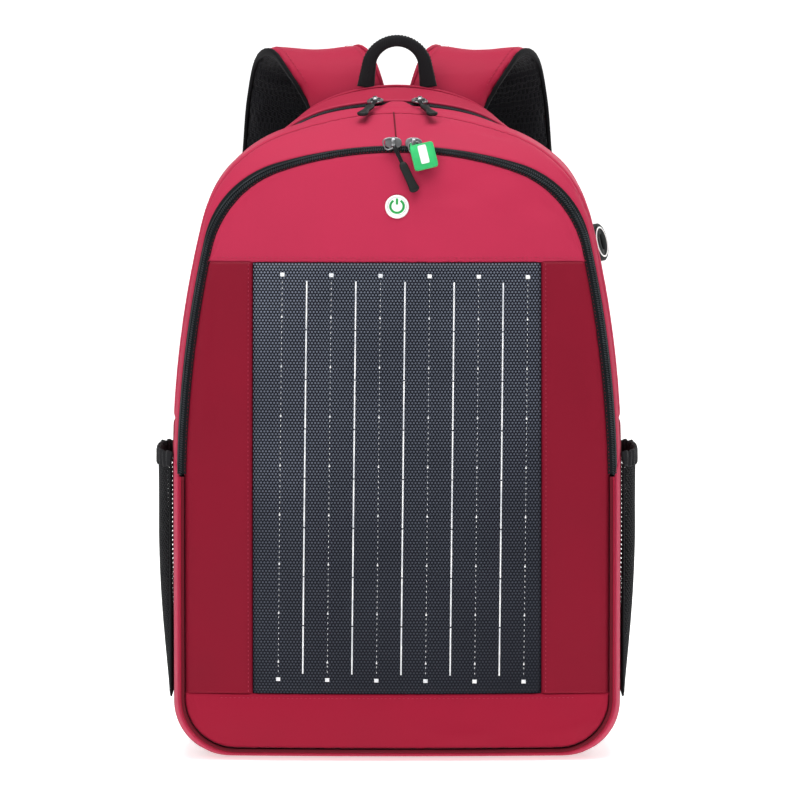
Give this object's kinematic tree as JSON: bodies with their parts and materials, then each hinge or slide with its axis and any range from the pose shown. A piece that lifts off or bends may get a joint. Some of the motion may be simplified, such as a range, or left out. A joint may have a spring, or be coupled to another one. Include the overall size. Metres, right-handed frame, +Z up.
{
  "type": "solar backpack",
  "caption": "Laptop backpack with a flexible solar panel sewn into its zipped front cover, mesh side pockets, padded shoulder straps and a webbing handle.",
  "frame": {"origin": "centre of the base, on the surface that the bag stands on", "axes": "+Z up, -Y out of the solar panel's face, +Y towards the wearer, +X to the right of a viewer facing the solar panel"},
  "size_m": [0.3382, 0.232, 0.5056],
  "materials": {
    "shell_cloth": "crimson polyester twill",
    "dark_cloth": "black nylon",
    "lining": "black woven lining",
    "webbing": "black webbing and zip tape",
    "spacer_mesh": "black air mesh",
    "pocket_mesh": "black open mesh",
    "rubber": "matte black rubber",
    "green_rubber": "bright green soft rubber",
    "slider_metal": "plated zinc",
    "white_plastic": "white, green sign",
    "black_plastic": "black moulding",
    "solar_film": "clear film with a dot texture",
    "solar_cell": "dark blue silicon"
  },
  "bodies": {
    "bag": {"front_gusset_left": "shell_cloth", "front_gusset_right": "shell_cloth", "main_gusset": "shell_cloth", "rear_gusset": "shell_cloth", "front_gusset_lower": "shell_cloth", "side_panel_left": "shell_cloth", "side_panel_right": "shell_cloth", "base_panel": "shell_cloth", "shoulder_strap_left": "shell_cloth", "shoulder_strap_right": "shell_cloth", "back_panel": "dark_cloth", "divider_wall": "lining", "laptop_sleeve": "lining", "main_zip_tape": "webbing", "front_zip_bag_tape": "webbing", "pocket_binding_left": "webbing", "pocket_binding_right": "webbing", "strap_webbing_left": "webbing", "strap_webbing_right": "webbing", "strap_tab_left": "webbing", "strap_tab_right": "webbing", "back_pad_left": "spacer_mesh", "back_pad_right": "spacer_mesh", "lumbar_pad": "spacer_mesh", "side_pocket_left": "pocket_mesh", "side_pocket_right": "pocket_mesh", "cable_port": "rubber", "ladder_lock_left": "black_plastic", "ladder_lock_right": "black_plastic"},
    "front_cover": {"cover_top_panel": "shell_cloth", "cover_bottom_band": "shell_cloth", "cover_strip_left": "shell_cloth", "cover_strip_right": "shell_cloth", "solar_film": "solar_film", "solar_cells": "solar_cell", "solar_backing": "lining", "front_zip_cover_tape": "webbing", "cover_piping": "dark_cloth", "power_switch_housing": "white_plastic", "junction_box": "black_plastic", "usb_controller": "black_plastic", "solar_lead": "rubber"},
    "power_button": {"power_button": "white_plastic"},
    "grab_handle": {"grab_handle": "webbing"},
    "front_slider_left": {"front_slider_left": "slider_metal"},
    "front_pull_left": {"front_pull_link_left": "slider_metal", "front_pull_grip_left": "rubber"},
    "front_slider_right": {"front_slider_right": "slider_metal"},
    "front_pull_right": {"front_pull_link_right": "slider_metal", "front_pull_tag_right": "green_rubber"},
    "main_slider_left": {"main_slider_left": "slider_metal"},
    "main_pull_left": {"main_pull_link_left": "slider_metal", "main_pull_grip_left": "rubber"},
    "main_slider_right": {"main_slider_right": "slider_metal"},
    "main_pull_right": {"main_pull_link_right": "slider_metal", "main_pull_grip_right": "rubber"}
  },
  "joints": [
    {"name": "front_cover_open", "type": "hinge", "parent": "bag", "child": "front_cover", "pos_m": [0, -0.07, 0.006], "axis": [1, 0, 0], "range_deg": [0, 10]},
    {"name": "front_slider_left_travel", "type": "hinge", "parent": "front_cover", "child": "front_slider_left", "pos_m": [0, -0.0948, 0.1785], "axis": [0, -0.9723, 0.2338], "range_deg": [0, 17]},
    {"name": "front_slider_right_travel", "type": "hinge", "parent": "front_cover", "child": "front_slider_right", "pos_m": [0, -0.0948, 0.1785], "axis": [0, -0.9723, 0.2338], "range_deg": [-17, 0]},
    {"name": "front_pull_left_swing", "type": "hinge", "parent": "front_slider_left", "child": "front_pull_left", "pos_m": [-0.0026, -0.03903, 0.43002], "axis": [-1, -0.0022, -0.0093], "range_deg": [0, 140]},
    {"name": "front_pull_right_swing", "type": "hinge", "parent": "front_slider_right", "child": "front_pull_right", "pos_m": [0.0116, -0.03907, 0.42977], "axis": [-0.9991, 0.01, 0.0415], "range_deg": [0, 140]},
    {"name": "main_slider_left_travel", "type": "hinge", "parent": "bag", "child": "main_slider_left", "pos_m": [0, 0.0352, 0.231], "axis": [0, 1, 0], "range_deg": [-9, 0]},
    {"name": "main_slider_right_travel", "type": "hinge", "parent": "bag", "child": "main_slider_right", "pos_m": [0, 0.0352, 0.231], "axis": [0, 1, 0], "range_deg": [0, 9]},
    {"name": "main_pull_left_swing", "type": "hinge", "parent": "main_slider_left", "child": "main_pull_left", "pos_m": [-0.01576, 0.03382, 0.4613], "axis": [-0.9977, -0.0033, -0.0671], "range_deg": [0, 120]},
    {"name": "main_pull_right_swing", "type": "hinge", "parent": "main_slider_right", "child": "main_pull_right", "pos_m": [0.01627, 0.03382, 0.46127], "axis": [-0.9976, 0.0034, 0.0693], "range_deg": [0, 120]},
    {"name": "grab_handle_fold", "type": "hinge", "parent": "bag", "child": "grab_handle", "pos_m": [0, 0.066, 0.475], "axis": [1, 0, 0], "range_deg": [-30, 60], "stiffness_Nm_per_rad": 0.05},
    {"name": "power_button_press", "type": "slide", "parent": "front_cover", "child": "power_button", "axis": [0, 0.9584, -0.2856], "range_m": [0, 0.0015], "stiffness_N_per_m": 350}
  ]
}
